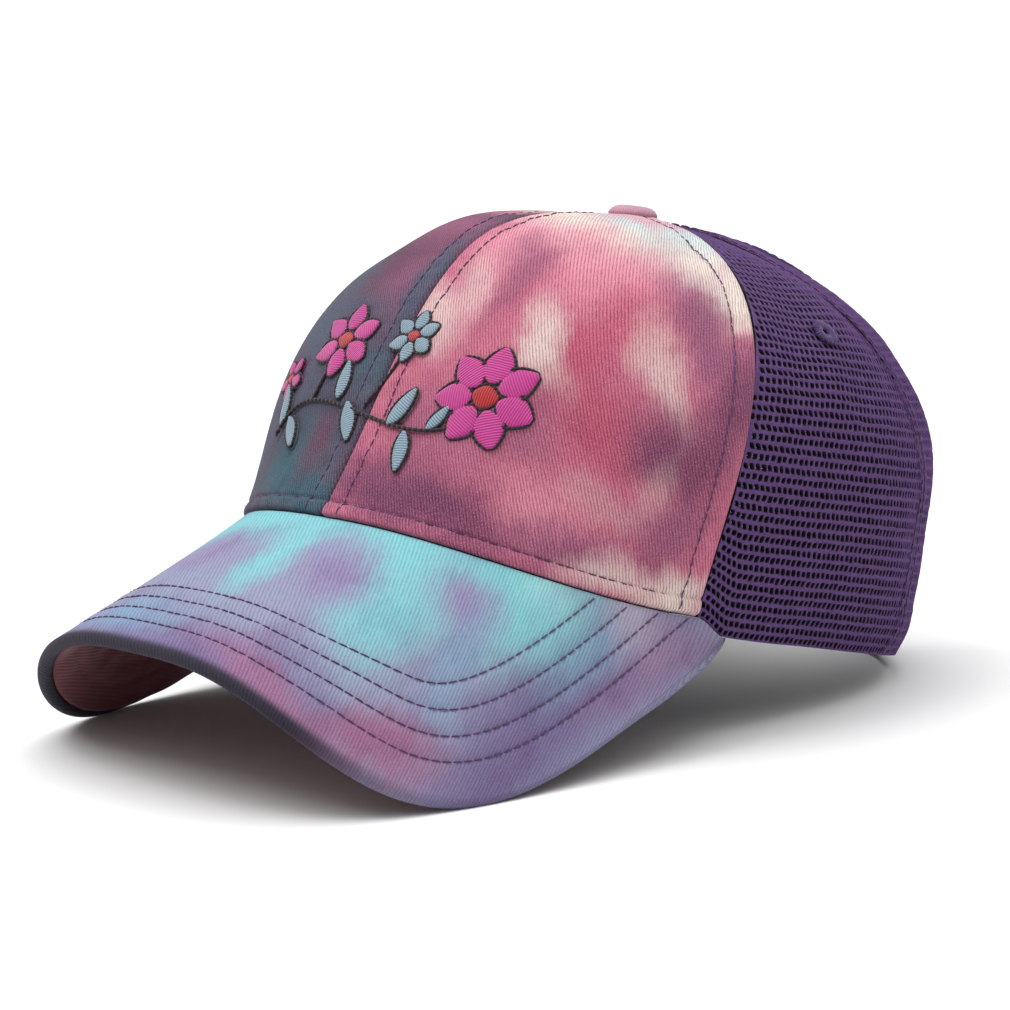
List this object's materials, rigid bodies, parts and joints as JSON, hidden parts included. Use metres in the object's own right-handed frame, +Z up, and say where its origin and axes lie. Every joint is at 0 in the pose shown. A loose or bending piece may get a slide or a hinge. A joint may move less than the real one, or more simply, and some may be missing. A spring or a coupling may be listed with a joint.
{
  "type": "ponytail baseball cap",
  "caption": "Cloth and net cap with a curved peak, a covered top button, an inner band and an arched opening at the back for hair, over a fastened strap.",
  "frame": {"origin": "on the floor, under the middle of the cap's bounding box", "axes": "+Z up with the cap resting by itself, -Y the way its peak points, +X the wearer's left"},
  "size_m": [0.176, 0.274, 0.1418],
  "materials": {
    "front_cloth_left": "matt tie-dyed twill",
    "front_cloth_right": "matt tie-dyed twill",
    "net": "matt polyester net",
    "peak_cloth": "matt tie-dyed twill",
    "underside_cloth": "matt cloth",
    "tape": "matt tape",
    "button_cloth": "matt twill"
  },
  "bodies": {
    "root": {"front_panel_left": "front_cloth_left", "front_panel_right": "front_cloth_right", "side_panel_left": "net", "side_panel_right": "net", "back_panel_left": "net", "back_panel_right": "net", "peak": "peak_cloth", "peak_underside": "underside_cloth", "sweatband": "tape", "opening_binding": "tape", "back_strap": "tape", "button": "button_cloth", "eyelet_left": "tape", "eyelet_right": "tape"}
  },
  "joints": []
}
